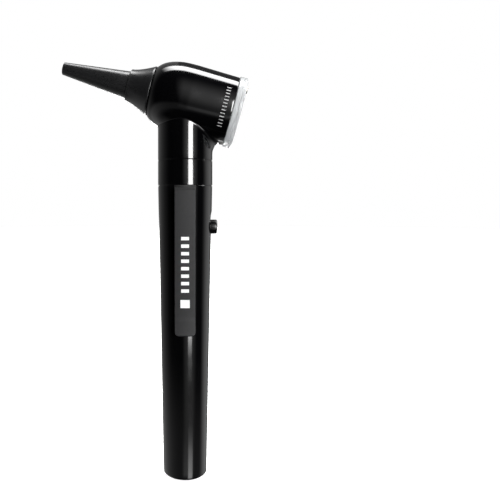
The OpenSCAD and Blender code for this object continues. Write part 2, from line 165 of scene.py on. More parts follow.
class SpeculumSizes(bpy.types.PropertyGroup):
    """Sizes of the ear speculum."""

    rim_r: length("Rim radius", "Radius of the wide rim", 9.8)
    rim_u: length("Rim", "Distance of the rim ahead of the handle's axis", 13.8)
    flare_r: length("Flare foot", "Radius at the foot of the flare", 6.45)
    flare_u: length("Flare end", "Distance of the flare's foot ahead of the handle's axis", 23.2)
    cone_r: length("Cone radius", "Radius where the long cone begins", 5.5)
    tip_r: length("Tip radius", "Outer radius of the tip", 2.5)
    bore_r: length("Tip bore", "Bore radius of the tip", 2.0)
    tip_u: length("Tip", "Distance of the tip ahead of the handle's axis", 50.5)
    wall: length("Wall", "Thickness of the wall", 0.8)


class Finishes(bpy.types.PropertyGroup):
    """Colours of the otoscope's finishes."""

    gloss: colour("Gloss plastic", "Handle, collar and head", "#050506")
    satin: colour("Satin plastic", "Thumb button, air port and nose", "#060607")
    speculum: colour("Speculum", "Ear speculum", "#19191a")
    clip: colour("Clip", "Blackened steel of the clip", "#262627")
    mark: colour("Marks", "Printed marks on the clip", "#f4f4f4")
    fine_mark: colour("Fine marks", "Fine printed marks on the head", "#b9b9ba")
    acrylic: colour("Acrylic", "Lens ring", "#e4e6e7")
    lens: colour("Lens", "Ground lens", "#f1f3f3")


# ------------------------------------------------------------------ mesh building

class Skin:
    """Points and faces of one piece while it is being built."""

    def __init__(self):
        self.points = []
        self.faces = []

    def ring(self, points):
        """Adds points and returns their numbers."""
        start = len(self.points)
        self.points.extend(tuple(p) for p in points)
        return list(range(start, len(self.points)))

    def band(self, first, second, closed=True):
        """Quads between two rings of the same count."""
        count = len(first)
        for i in range(count if closed else count - 1):
            j = (i + 1) % count
            self.faces.append((first[i], first[j], second[j], second[i]))

    def grow(self, last, points):
        """A new ring, joined to the last one by a band. Returns the new one's numbers."""
        ring = self.ring(points)
        self.band(last, ring)
        return ring

    def cap(self, ring, centre):
        """Triangles from a ring to one point."""
        tip = self.ring([centre])[0]
        for i, a in enumerate(ring):
            self.faces.append((a, ring[(i + 1) % len(ring)], tip))

    def make(self, name, finish, sharp=32):
        """The piece as an object in the row's frame, with one finish and outward faces."""
        mesh = bpy.data.meshes.new(name)
        mesh.from_pydata(self.points, [], self.faces)
        bm = bmesh.new()
        bm.from_mesh(mesh)
        bmesh.ops.remove_doubles(bm, verts=bm.verts, dist=1e-7)
        bmesh.ops.recalc_face_normals(bm, faces=bm.faces)
        bm.to_mesh(mesh)
        bm.free()
        mesh.shade_smooth()
        mesh.set_sharp_from_angle(angle=math.radians(sharp))
        mesh.materials.append(finish)
        piece = bpy.data.objects.new(name, mesh)
        bpy.context.scene.collection.objects.link(piece)
        return piece


def rounded(corners, steps=5):
    """Closed outline through corners (radius, height, rounding), with arcs at the corners."""
    outline = []
    count = len(corners)
    for i, (x, y, rounding) in enumerate(corners):
        here = Vector((x, y))
        if rounding <= 0:
            outline.append((x, y))
            continue
        before = (Vector(corners[i - 1][:2]) - here).normalized()
        after = (Vector(corners[(i + 1) % count][:2]) - here).normalized()
        half = before.angle(after) / 2
        centre = here + (before + after).normalized() * rounding / math.sin(half)
        start = here + before * rounding / math.tan(half) - centre
        end = here + after * rounding / math.tan(half) - centre
        turn = start.angle_signed(end)
        for k in range(steps + 1):
            arm = start.copy()
            arm.rotate(Matrix.Rotation(-turn * k / steps, 2))
            outline.append(tuple(centre + arm))
    return outline


def circle(r, height, steps, place):
    """Points of a circle round the Z axis of place."""
    return [place @ Vector((r * math.cos(a), r * math.sin(a), height))
            for a in np.linspace(0, 2 * math.pi, steps, endpoint=False)]


def lathe(skin, outline, steps=96, place=Matrix.Identity(4), closed=True):
    """Turns an outline of (radius, height) round the Z axis of place. An end on the axis
    becomes a pole, and a closed outline off the axis becomes a ring."""
    rings = []
    for r, height in outline:
        if r < 1e-9:
            rings.append(place @ Vector((0, 0, height)))
        else:
            rings.append(skin.ring(circle(r, height, steps, place)))
    pairs = list(zip(rings, rings[1:])) + ([(rings[-1], rings[0])] if closed else [])
    for first, second in pairs:
        if isinstance(first, Vector) and isinstance(second, Vector):
            continue
        if isinstance(first, Vector):
            skin.cap(second, first)
        elif isinstance(second, Vector):
            skin.cap(first, second)
        else:
            skin.band(first, second)
    return rings


def grid_round_hole(skin, surface, rows, angles, patch, hole_at, rings=12):
    """A surface of rows and angles, closed round its angles, with a hole in it. The grid is
    left out inside patch = (first row, last row, first angle, last angle), and rings of
    points run from that patch's edge to the hole's outline. Returns the first row, the last
    row and the hole's ring."""
    r0, r1, c0, c1 = patch
    number = {}
    for i, row in enumerate(rows):
        for j, angle in enumerate(angles):
            if not (r0 < i < r1 and c0 < j < c1):
                number[i, j] = skin.ring([surface(row, angle)])[0]
    for i in range(len(rows) - 1):
        for j in range(len(angles)):
            k = (j + 1) % len(angles)
            if not (r0 <= i < r1 and c0 <= j < c1):
                skin.faces.append((number[i, j], number[i, k], number[i + 1, k], number[i + 1, j]))
    edge = [(r0, j) for j in range(c0, c1)] + [(i, c1) for i in range(r0, r1)]
    edge += [(r1, j) for j in range(c1, c0, -1)] + [(i, c0) for i in range(r1, r0, -1)]
    outer = np.array([(rows[i], angles[j]) for i, j in edge])
    inner = np.array([hole_at(row, angle) for row, angle in outer])
    last = [number[key] for key in edge]
    for k in range(1, rings + 1):
        share = 1 - (1 - k / rings) ** 1.3
        mixed = outer + (inner - outer) * share
        last = skin.grow(last, [surface(row, angle) for row, angle in mixed])
    first_row = [number[0, j] for j in range(len(angles))]
    last_row = [number[len(rows) - 1, j] for j in range(len(angles))]
    return first_row, last_row, last


# ------------------------------------------------------------------ node helpers

def add(tree, kind, settings=None, inputs=None):
    """Adds a node with its settings, and sets or links its inputs."""
    node = tree.nodes.new(kind)
    for key, value in (settings or {}).items():
        setattr(node, key, value)
    for key, value in (inputs or {}).items():
        if isinstance(value, bpy.types.NodeSocket):
            tree.links.new(value, node.inputs[key])
        else:
            node.inputs[key].default_value = value
    return node


def maths(tree, operation, *values):
    """Output of a Math node on sockets and numbers."""
    return add(tree, "ShaderNodeMath", {"operation": operation}, dict(enumerate(values))).outputs[0]


def blank_material(name):
    """A new material with an empty node tree, and that tree."""
    material = bpy.data.materials.new(name)
    material.use_nodes = True
    material.node_tree.nodes.clear()
    return material, material.node_tree


def finish_from(name, tone, values, rough, smear, grain=0, depth=0):
    """A Principled finish. Its roughness wanders over the span rough in smears of the given
    size, and a bump of the given depth follows a grain of the given spacing, all in mm."""
    made, tree = blank_material(name)
    shader = add(tree, "ShaderNodeBsdfPrincipled", inputs={"Base Color": tone, **values})
    out = add(tree, "ShaderNodeOutputMaterial", inputs={"Surface": shader.outputs[0]})
    out.is_active_output = True
    place = add(tree, "ShaderNodeTexCoord").outputs["Object"]
    smears = add(tree, "ShaderNodeTexNoise", inputs={
        "Vector": place, "Scale": 1 / (smear * MM), "Detail": 3.0})
    span = add(tree, "ShaderNodeMapRange", inputs={
        "Value": smears.outputs["Fac"], "From Min": 0.3, "From Max": 0.7,
        "To Min": rough[0], "To Max": rough[1]})
    tree.links.new(span.outputs[0], shader.inputs["Roughness"])
    if grain:
        texture = add(tree, "ShaderNodeTexNoise", inputs={
            "Vector": place, "Scale": 1 / (grain * MM), "Detail": 2.0})
        bump = add(tree, "ShaderNodeBump", inputs={
            "Height": texture.outputs["Fac"], "Distance": depth * MM, "Strength": 1.0})
        tree.links.new(bump.outputs[0], shader.inputs["Normal"])
    return made


# ------------------------------------------------------------------ finishes

METAL = {"Metallic": 1.0}
CLEAR = {"Transmission Weight": 1.0}

# For each finish: the material's name, its colour as a property of Finishes or as a code, its
# other values, the span of its roughness, and then in mm the size of its smears and the
# spacing and depth of its grain.
FINISHES = {
    # black ABS from a polished mould: near-mirror gloss, with faint wiping marks
    "gloss_black_plastic": ("gloss_abs", "gloss", {"IOR": 1.52}, (0.07, 0.13), 6, 2.5, 0.0003),
    # black ABS from a fine-eroded mould: an even satin sheen
    "satin_black_plastic": (
        "satin_abs", "satin", {"IOR": 1.5}, (0.2, 0.28), 1.5, 0.12, 0.0008),
    # dark polypropylene, injection moulded: a soft sheen, a little uneven
    "speculum_plastic": (
        "speculum_polypropylene", "speculum", {"IOR": 1.49}, (0.27, 0.33), 3, 0.2, 0.0008),
    # spring steel with a dull black dip: flat dark grey, with a slight grain
    "clip_steel": ("blackened_steel", "clip", {"IOR": 1.35}, (0.58, 0.66), 1.2, 0.1, 0.002),
    # nickel plate over brass: warm white metal, a little uneven
    "nickel_plate": ("nickel_plate", "#b9b6ae", METAL, (0.16, 0.28), 0.8, 0.1, 0.001),
    # drawn spring wire: grey metal with a dull sheen
    "spring_steel": ("spring_wire", "#9a9c9f", METAL, (0.25, 0.4), 0.6),
    # rolled sheet brass, a little tarnished
    "contact_brass": ("sheet_brass", "#b08d4a", METAL, (0.22, 0.42), 1.5, 0.15, 0.001),
    # cream acetal, machined: waxy and slightly rough
    "insulator_plastic": (
        "insulator_acetal", "#d3ccba",
        {"IOR": 1.48, "Subsurface Weight": 0.1, "Subsurface Scale": 1 * MM},
        (0.38, 0.5), 1.5, 0.2, 0.002),
    # black nitrile rubber: dull, with a fine moulded grain
    "black_rubber": ("seal_rubber", "#101010", {"IOR": 1.52}, (0.6, 0.75), 1, 0.15, 0.004),
    # cast acrylic ring, turned and left fine-ground: a cloudy clear, white where it is lit
    "clear_acrylic": (
        "clear_acrylic", "acrylic", {"Transmission Weight": 0.55, "IOR": 1.49},
        (0.16, 0.26), 1),
    # optical acrylic, cast and ground: clear, with the faintest cool tint and wiping marks
    "lens_acrylic": ("lens_acrylic", "lens", {**CLEAR, "IOR": 1.49}, (0.0, 0.02), 4),
    # clear drawn glass
    "lamp_envelope": ("lamp_glass", "#eef5f8", {**CLEAR, "IOR": 1.5}, (0.0, 0.03), 1),
    # bonded glass fibres, ground and polished at the ends: a milky white
    "light_guide": ("light_guide", "#e9e6da", {"IOR": 1.5}, (0.15, 0.3), 0.2),
    # polyester jacket shrunk on a cell: plain blue, glossy
    "cell_jacket": (
        "cell_jacket", "#2f4d74", {"IOR": 1.55, "Coat Weight": 0.4}, (0.2, 0.3), 4),
    # white and grey pad-printed ink: flat and even
    "mark_white": ("mark_white", "mark", {"IOR": 1.45}, (0.45, 0.6), 0.5),
    "mark_grey": ("mark_grey", "fine_mark", {"IOR": 1.45}, (0.45, 0.6), 0.5),
}
_made = {}


def material(finish):
    """The named finish, made the first time it is asked for."""
    if finish not in _made:
        name, tone, *rest = FINISHES[finish]
        if tone.startswith("#"):
            tone = srgb(tone)
        else:
            tone = (*getattr(bpy.context.scene.otoscope_finishes, tone), 1)
        _made[finish] = finish_from(name, tone, *rest)
    return _made[finish]


def hang(piece, body, slot, *nodes):
    """Lets a finished piece ride on a body, in place of CAD nodes."""
    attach(piece, body)
    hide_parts(*nodes)
    return piece


# ------------------------------------------------------------------ handle

def handle_r(sizes, z):
    """Radius of the tapered handle at a height."""
    return sizes.foot_r + (HANDLE_BOX[1].y - sizes.foot_r) * z / HANDLE_BOX[1].z


class OTOSCOPE_OT_handle(bpy.types.Operator):
    """Build the tapered handle, with its flat foot and the recess of the switch"""

    bl_idname = "otoscope.handle"
    bl_label = "Handle"

    def execute(self, context):
        sizes = context.scene.otoscope_handle
        top = HANDLE_BOX[1].z
        button_r = (BUTTON_BOX[1].y - BUTTON_BOX[0].y) / 2
        button_z = (BUTTON_BOX[0].z + BUTTON_BOX[1].z) / 2
        lip = 0.25 * MM
        half_w = button_r + sizes.recess_gap
        middle = button_z + sizes.travel / 2

        def surface(z, angle):
            r = handle_r(sizes, z)
            return Vector((r * math.cos(angle), r * math.sin(angle), z))

        def stadium(direction, grow):
            """Point (across, height) of the recess's outline in a direction from its middle."""
            r = half_w + grow
            across, up = math.cos(direction), math.sin(direction)
            half_travel = sizes.travel / 2
            if abs(up) * r <= half_travel * abs(across):
                reach = r / abs(across)
            else:
                side = half_travel * math.copysign(1, up)
                dot = up * side
                reach = dot + math.sqrt(dot * dot - side * side + r * r)
            return across * reach, middle + up * reach

        def hole_at(z, angle):
            r = handle_r(sizes, middle)
            direction = math.atan2(z - middle, angle * r)
            across, height = stadium(direction, lip)
            directions.append(direction)
            return height, math.asin(across / handle_r(sizes, height))

        directions = []
        angles = np.linspace(-math.pi, math.pi, 192, endpoint=False)
        rows = np.concatenate([
            np.linspace(sizes.foot_edge, middle - 9 * MM, 40)[:-1],
            np.linspace(middle - 9 * MM, middle + 9 * MM, 25),
            np.linspace(middle + 9 * MM, top - sizes.seam_edge, 6)[1:]])
        first_row = int(np.argmin(abs(rows - (middle - 9 * MM))))
        patch = (first_row, first_row + 24, 96 - 20, 96 + 20)
        skin = Skin()
        foot, head, mouth = grid_round_hole(skin, surface, rows, angles, patch, hole_at)
        # rounded lip of the recess, its wall and its floor
        last = mouth
        for turn in np.linspace(0, math.pi / 2, 6)[1:]:
            ring = []
            for direction in directions:
                across, height = stadium(direction, lip * (1 - math.sin(turn)))
                r = handle_r(sizes, height)
                depth = lip * (1 - math.cos(turn))
                ring.append((math.sqrt(r * r - across * across) - depth, across, height))
            last = skin.grow(last, ring)
        for grow in (0, -1.0 * MM):
            last = skin.grow(last, [(sizes.recess_floor, *stadium(d, grow)) for d in directions])
        skin.cap(last, (sizes.recess_floor, 0, middle))
        # foot
        edge = sizes.foot_edge
        bottom = foot
        for turn in np.linspace(0, math.pi / 2, 9)[1:]:
            r = sizes.foot_r - edge + edge * math.cos(turn)
            z = edge - edge * math.sin(turn)
            bottom = skin.grow(bottom, ((r * math.cos(a), r * math.sin(a), z) for a in angles))
        skin.cap(bottom, (0, 0, 0))
        # upper edge, spigot seat and cell bore
        seam = sizes.seam_edge
        steps = [(HANDLE_BOX[1].y - seam * (1 - math.cos(t)), top - seam * (1 - math.sin(t)))
                 for t in np.linspace(0, math.pi / 2, 4)[1:]]
        steps += [(sizes.spigot_r, top), (sizes.spigot_r, top - sizes.skirt),
                  (sizes.bore_r, top - sizes.skirt), (sizes.bore_r, sizes.floor)]
        last = head
        for r, z in steps:
            last = skin.grow(last, ((r * math.cos(a), r * math.sin(a), z) for a in angles))
        skin.cap(last, (0, 0, sizes.floor))
        piece = skin.make("handle_tube", material("gloss_black_plastic"))
        hang(piece, "handle", "gloss_black_plastic", "handle_shell")
        return {"FINISHED"}


class OTOSCOPE_OT_collar(bpy.types.Operator):
    """Build the plain collar between handle and head"""

    bl_idname = "otoscope.collar"
    bl_label = "Collar"

    def execute(self, context):
        sizes = context.scene.otoscope_handle
        r = COLLAR_BOX[1].y
        low, high = COLLAR_BOX[0].z, COLLAR_BOX[1].z
        edge = sizes.seam_edge
        skin = Skin()
        lathe(skin, rounded([(sizes.spigot_r, low, 0), (r, low, edge), (r, high, edge),
                             (sizes.spigot_r, high, 0)]), steps=192)
        piece = skin.make("collar", material("gloss_black_plastic"))
        hang(piece, "handle", "gloss_black_plastic", "collar_ring")
        return {"FINISHED"}


class OTOSCOPE_OT_switch(bpy.types.Operator):
    """Build the round thumb button of the slide switch"""

    bl_idname = "otoscope.switch"
    bl_label = "Thumb button"

    def execute(self, context):
        low, high = BUTTON_BOX
        r = (high.y - low.y) / 2
        middle = (low.z + high.z) / 2
        sizes = context.scene.otoscope_handle
        start = sizes.recess_floor + 0.05 * MM
        place = Matrix.Translation((0, 0, middle)) @ Matrix.Rotation(math.pi / 2, 4, "Y")
        skin = Skin()
        # two shallow grip rings in a slightly dished face
        face = high.x
        outline = rounded([
            (0, start, 0), (r, start, 0.1 * MM), (r, face, 0.55 * MM),
            (r * 0.68, face, 0.12 * MM), (r * 0.62, face - 0.22 * MM, 0.1 * MM),
            (r * 0.5, face - 0.22 * MM, 0.1 * MM), (r * 0.44, face - 0.02 * MM, 0.1 * MM),
            (0, face - 0.1 * MM, 0)])
        lathe(skin, outline, steps=72, place=place, closed=False)
        piece = skin.make("thumb_button", material("satin_black_plastic"))
        hang(piece, "switch", "satin_black_plastic", "switch_button")
        return {"FINISHED"}


# ------------------------------------------------------------------ pocket clip

class OTOSCOPE_OT_clip(bpy.types.Operator):
    """Build the pocket clip as one bent strip"""

    bl_idname = "otoscope.clip"
    bl_label = "Pocket clip"

    def execute(self, context):
        half_w = (CLIP_BOX[1].x - CLIP_BOX[0].x) / 2
        top = TAB_BOX[1].z
        hinge = Vector(JOINTS["clip_flex"]["pos_m"])
        outside = -TAB_BOX[0].y
        thickness = 2 * (outside + hinge.y)
        drop = 1.1 * MM
        path = self.path(top - thickness / 2 - drop, outside - thickness / 2, thickness)
        skin = Skin()
        corner, edge = 1.6 * MM, 0.16 * MM
        total = path[-1][2]
        last = None
        for y, z, run, normal in path:
            left = total - run
            w = half_w
            if left < corner:
                w = half_w - corner + math.sqrt(corner ** 2 - (corner - left) ** 2)
            w = max(w, half_w - corner)
            section = rounded([(-w, -thickness / 2, edge), (w, -thickness / 2, edge),
                               (w, thickness / 2, edge), (-w, thickness / 2, edge)], steps=3)
            ring = skin.ring(
                (x, -(y + normal[0] * out), z + normal[1] * out) for x, out in section)
            if last is None:
                skin.cap(ring, (0, -y, z))
            else:
                skin.band(last, ring)
            last = ring
        skin.cap(last, (0, -path[-1][0], path[-1][1]))
        piece = skin.make("clip_strip", material("clip_steel"), sharp=50)
        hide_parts("clip_tab", "pocket_clip")
        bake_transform(piece)
        # a thin black plate, slightly proud of the handle, is painted shade for the slot above the strip
        self.slot_shade_plate(half_w + 0.1 * MM, top)
        return {"FINISHED"}

    def slot_shade_plate(self, half_w, top):
        """Painted shade: a thin black plate on the handle's edge where the strip comes out, standing for the shade
        in the slot.
        """
        outer, inner = TAB_R + 0.02 * MM, TAB_R - 0.3 * MM
        low, high = top - 1.8 * MM, top - 0.02 * MM
        skin = Skin()
        last = None
        for x in np.linspace(-half_w, half_w, 24):
            ring = skin.ring((x, -math.sqrt(r * r - x * x), z)
                             for r, z in ((outer, low), (outer, high), (inner, high), (inner, low)))
            if last is None:
                skin.faces.append(tuple(ring))
            else:
                skin.band(last, ring)
            last = ring
        skin.faces.append(tuple(last))
        piece = skin.make("tab_slot_painted_shade", material("black_rubber"))
        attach(piece, "handle")

    def path(self, tab_z, arm_y, thickness):
        """Points (distance from the axis, height, run, outward normal) down the strip."""
        bend = 0.9 * MM
        sizes = bpy.context.scene.otoscope_handle
        end_z = CLIP_BOX[0].z + 0.2 * MM
        fold_z = end_z + 5.7 * MM
        fold_y = handle_r(sizes, fold_z) + thickness / 2 + 0.05 * MM
        end_y = fold_y + 2.7 * MM
        tab_y = -TAB_BOX[1].y
        line = [Vector((tab_y, tab_z))]
        for turn in np.linspace(math.pi / 2, 0, 10):
            line.append(Vector((arm_y - bend + bend * math.cos(turn),
                                tab_z - bend + bend * math.sin(turn))))
        fold, foot = Vector((fold_y, fold_z)), Vector((end_y, end_z))
        ease = 1.4 * MM
        above = fold + (line[-1] - fold).normalized() * ease
        below = fold + (foot - fold).normalized() * ease
        line += [line[-1].lerp(above, t) for t in np.linspace(0, 1, 30)[1:]]
        line += [above.lerp(fold, t).lerp(fold.lerp(below, t), t) for t in np.linspace(0, 1, 8)[1:]]
        line += [below.lerp(foot, t) for t in 1 - (1 - np.linspace(0, 1, 14)[1:]) ** 2]
        points, run = [], 0.0
        for i, here in enumerate(line):
            ahead = line[min(i + 1, len(line) - 1)] - line[max(i - 1, 0)]
            ahead.normalize()
            if i:
                run += (here - line[i - 1]).length
            points.append((here.x, here.y, run, (-ahead.y, ahead.x)))
        return points


# ------------------------------------------------------------------ head

def barrel_r(sizes, u):
    """Outer radius of the barrel at a distance u behind the handle's axis."""
    if u < -sizes.dome_end:
        share = (u + sizes.dome_end) / sizes.dome_len
        return sizes.barrel_r - sizes.dome_drop * (1 - math.sqrt(1 - share * share))
    straight = 2 * MM
    if u < straight:
        return sizes.barrel_r
    narrowing = sizes.rear_r - sizes.barrel_r
    return sizes.barrel_r + narrowing * (u - straight) / (sizes.rear - straight)


class OTOSCOPE_OT_head(bpy.types.Operator):
    """Build the head: the barrel, blended into its neck, and the inside of both"""

    bl_idname = "otoscope.head"
    bl_label = "Head"

    def execute(self, context):
        sizes = context.scene.otoscope_head
        seam = context.scene.otoscope_handle.seam_edge
        front, rear = -sizes.front, sizes.rear
        neck_r = COLLAR_BOX[1].y
        neck_z = COLLAR_BOX[1].z + 0.05 * MM

        def surface(u, angle):
            r = barrel_r(sizes, u)
            return HEAD @ Vector((r * math.sin(angle), -r * math.cos(angle), u))

        steepest = math.asin((sizes.front - sizes.edge - sizes.dome_end) / sizes.dome_len)
        dome = [-sizes.dome_end - sizes.dome_len * math.sin(t)
                for t in np.linspace(steepest, 0, 34)]
        rows = np.array(dome + list(np.linspace(-sizes.dome_end, rear - sizes.edge, 36)[1:]))
        angles = np.linspace(-math.pi, math.pi, 192, endpoint=False)
        first = int(np.argmin(abs(rows + 11.9 * MM)))
        patch = (first, len(rows) - 1, 96 - 42, 96 + 42)
        samples = np.linspace(front, rear, 6000)
        radii = np.array([barrel_r(sizes, u) for u in samples])
        to_head = HEAD.inverted()

        def nearest(point):
            """Distance to the barrel's outline and the place on it, for a point in the row."""
            local = to_head @ Vector(point)
            out = math.hypot(local.x, local.y)
            gap = np.hypot(samples - local.z, radii - out)
            k = int(gap.argmin())
            within = front < local.z < rear and out < barrel_r(sizes, local.z)
            return (-gap[k] if within else gap[k]), samples[k], math.atan2(local.x, -local.y)

        def blend_at(turn):
            """Where a ball that rolls round the neck touches the neck and the barrel."""
            rearward = ((1 + math.cos(turn)) / 2) ** 5
            ball = sizes.fillet + (sizes.heel - sizes.fillet) * rearward
            out = neck_r + ball
            low, high = neck_z, HEAD_CENTRE.z
            for _ in range(34):
                z = (low + high) / 2
                gap, u, angle = nearest((out * math.cos(turn), out * math.sin(turn), z))
                low, high = (low, z) if gap <= ball else (z, high)
            centre = Vector((out * math.cos(turn), out * math.sin(turn), z))
            return centre, ball, rearward, u, angle

        balls = []

        def hole_at(u, angle):
            place = surface(u, angle)
            turn = math.atan2(place.y, place.x)
            ball = blend_at(turn)
            balls.append((turn, *ball))
            return ball[3], ball[4]

        skin = Skin()
        front_ring, rear_ring, mouth = grid_round_hole(
            skin, surface, rows, angles, patch, hole_at, rings=14)
        self.neck(skin, sizes, balls, mouth, neck_r, neck_z, seam)
        self.tube_ends(skin, sizes, front_ring, rear_ring, angles)
        piece = skin.make("head_casing", material("gloss_black_plastic"))
        hang(piece, "head", "gloss_black_plastic", "head_shell")
        return {"FINISHED"}

    def neck(self, skin, sizes, balls, mouth, neck_r, neck_z, seam):
        """The fillet below the barrel, the neck and its bore."""
        curves = []
        for turn, centre, ball, rearward, u, angle in balls:
            side = Vector((math.cos(turn), math.sin(turn), 0))
            r = barrel_r(sizes, u)
            high = HEAD @ Vector((r * math.sin(angle), -r * math.cos(angle), u))
            low = centre - side * ball
            first, second = (low - centre).normalized(), (high - centre).normalized()
            half = first.angle(second) / 2
            corner = centre + (first + second).normalized() * ball / math.cos(half)
            low = low - Vector((0, 0, sizes.heel_drop * rearward))
            curves.append((high, high.lerp(corner, 0.5523), low.lerp(corner, 0.5523), low))
        last = mouth
        for t in np.linspace(0, 1, 11)[1:]:
            weights = ((1 - t) ** 3, 3 * t * (1 - t) ** 2, 3 * t * t * (1 - t), t ** 3)
            last = skin.grow(last, (sum((p * w for p, w in zip(curve, weights)), Vector())
                                    for curve in curves))
        turns = [ball[0] for ball in balls]
        tops = [curve[3].z for curve in curves]
        foot = neck_z + seam
        for t in np.linspace(0, 1, 9)[1:]:
            last = skin.grow(last, (
                (neck_r * math.cos(a), neck_r * math.sin(a), z + (foot - z) * t)
                for a, z in zip(turns, tops)))
        steps = [(neck_r - seam * (1 - math.cos(t)), foot - seam * math.sin(t))
                 for t in np.linspace(0, math.pi / 2, 4)[1:]]
        mouth_r, mouth_z = sizes.neck_bore + 0.53 * MM, neck_z + 0.6 * MM
        steps += [(mouth_r, neck_z), (mouth_r, mouth_z),
                  (sizes.neck_bore, mouth_z), (sizes.neck_bore, sizes.shelf)]
        for r, z in steps:
            last = skin.grow(last, ((r * math.cos(a), r * math.sin(a), z) for a in turns))
        skin.cap(last, (0, 0, sizes.shelf))

    def tube_ends(self, skin, sizes, front_ring, rear_ring, angles):
        """The front and rear edges of the barrel, its faces and its inner wall."""
        edge, wall = sizes.edge, sizes.wall
        front, rear = -sizes.front, sizes.rear
        front_r = barrel_r(sizes, front + edge)
        outline = [(front_r - edge * 0.9 * math.sin(t),
                    front + edge * (1 - math.sin(t)) * 0.9 * math.cos(t))
                   for t in np.linspace(0, math.pi / 2, 5)[1:-1]]
        outline += [(front_r - edge, front), (sizes.seat_r, front), (sizes.seat_r, front + wall)]
        outline += [(barrel_r(sizes, u) - wall, u)
                    for u in np.linspace(front + wall, rear - edge, 40)]
        outline += [(sizes.rear_r - wall, rear), (sizes.rear_r - edge, rear)]
        outline += [(sizes.rear_r - edge + edge * math.sin(t), rear - edge + edge * math.cos(t))
                    for t in np.linspace(0, math.pi / 2, 5)[1:-1]]
        last = front_ring
        for r, u in outline:
            last = skin.grow(last, (
                HEAD @ Vector((r * math.sin(a), -r * math.cos(a), u)) for a in angles))
        skin.band(last, rear_ring)


# Profile of the nose from its shoulder along the outside to the tip, and back along the
# hollow, as (radius, distance ahead of the head's origin) in mm. The speculum's inner wall
# follows its outside about half a millimetre away.
NOSE_PROFILE = (
    (8.3, 14.6), (6.9, 17.7), (6.05, 19.7), (5.2, 22.5), (4.4, 24.2), (3.95, 26.7),
    (3.05, 34.5), (2.76, 34.5), (4.2, 20.6), (6.6, 15.5))
SPECULUM_INNER = ((5.75, 22.5), (6.55, 19.7), (7.45, 17.7), (8.75, 14.8))
NOSE_TIP = 34.5 * MM
NOSE_SHOULDER_R = 8.6 * MM
NOSE_HOLLOW_R = 7.3 * MM
PUSH_FIT = 0.02 * MM
PORT_BORE_R = 1.5 * MM


def ahead(profile):
    """A profile in mm as (radius, place on the viewing axis) in metres."""
    return [(r * MM, -distance * MM) for r, distance in profile]


class OTOSCOPE_OT_nose(bpy.types.Operator):
    """Build the hollow nose inside the speculum and the air port on the side"""

    bl_idname = "otoscope.nose"
    bl_label = "Nose and air port"

    def execute(self, context):
        sizes = context.scene.otoscope_head
        skin = Skin()
        root = sizes.wall - sizes.front
        seat = sizes.seat_r - PUSH_FIT
        outline = [(seat, root), (seat, -sizes.front), (NOSE_SHOULDER_R, -sizes.front)]
        outline += [*ahead(NOSE_PROFILE), (NOSE_HOLLOW_R, root)]
        lathe(skin, outline, steps=96, place=HEAD)
        piece = skin.make("nose", material("satin_black_plastic"))
        hang(piece, "head", "satin_black_plastic", "speculum_seat")
        self.air_port()
        return {"FINISHED"}

    def air_port(self):
        """Round nub with a bore, for the tube of a bulb."""
        low, high = PORT_BOX
        r = (high.x - low.x) / 2
        middle = (low + high) / 2
        place = Matrix.Translation((middle.x, 0, middle.z)) @ Matrix.Rotation(-math.pi / 2, 4, "X")
        outline = rounded([(PORT_BORE_R, low.y, 0), (r, low.y, 0.1 * MM), (r, high.y, 0.45 * MM),
                           (PORT_BORE_R, high.y, 0.25 * MM)])
        skin = Skin()
        lathe(skin, outline, steps=72, place=place)
        piece = skin.make("air_port", material("satin_black_plastic"))
        hang(piece, "head", "satin_black_plastic", "insufflation_port")


# ------------------------------------------------------------------ ear speculum

class OTOSCOPE_OT_speculum(bpy.types.Operator):
    """Build the ear speculum, a flared rim with a long cone"""

    bl_idname = "otoscope.speculum"
    bl_label = "Ear speculum"

    def execute(self, context):
        sizes = context.scene.otoscope_speculum
        rim, foot, tip = -sizes.rim_u, -sizes.flare_u, -sizes.tip_u
        lip, rim_edge, tip_edge = 0.5 * MM, 0.2 * MM, 0.25 * MM
        bore_depth = 3.5 * MM

        def flare(u):
            share = max(0.0, (u - foot) / (rim - lip - foot))
            return sizes.flare_r + (sizes.rim_r - sizes.flare_r) * share ** 1.4

        outline = [(sizes.rim_r - sizes.wall, rim)]
        outline += [(sizes.rim_r - rim_edge + rim_edge * math.sin(t),
                     rim - rim_edge + rim_edge * math.cos(t))
                    for t in np.linspace(0, math.pi / 2, 5)]
        outline += [(flare(u), u) for u in np.linspace(rim - lip, foot, 24)]
        step = foot - 0.5 * MM
        outline += [(sizes.flare_r - 0.12 * MM, foot - 0.1 * MM),
                    (sizes.cone_r + 0.3 * MM, step + 0.1 * MM), (sizes.cone_r, step)]
        outline += [(sizes.tip_r - tip_edge + tip_edge * math.cos(t),
                     tip + tip_edge - tip_edge * math.sin(t))
                    for t in np.linspace(0, math.pi / 2, 6)]
        outline += [(sizes.bore_r, tip), (sizes.bore_r, tip + bore_depth),
                    (sizes.cone_r - sizes.wall, step - 0.5 * MM), *ahead(SPECULUM_INNER)]
        skin = Skin()
        lathe(skin, outline, steps=144, place=HEAD)
        piece = skin.make("speculum_cone", material("speculum_plastic"))
        hang(piece, "speculum", "speculum_plastic", "ear_speculum")
        return {"FINISHED"}


# ------------------------------------------------------------------ lens

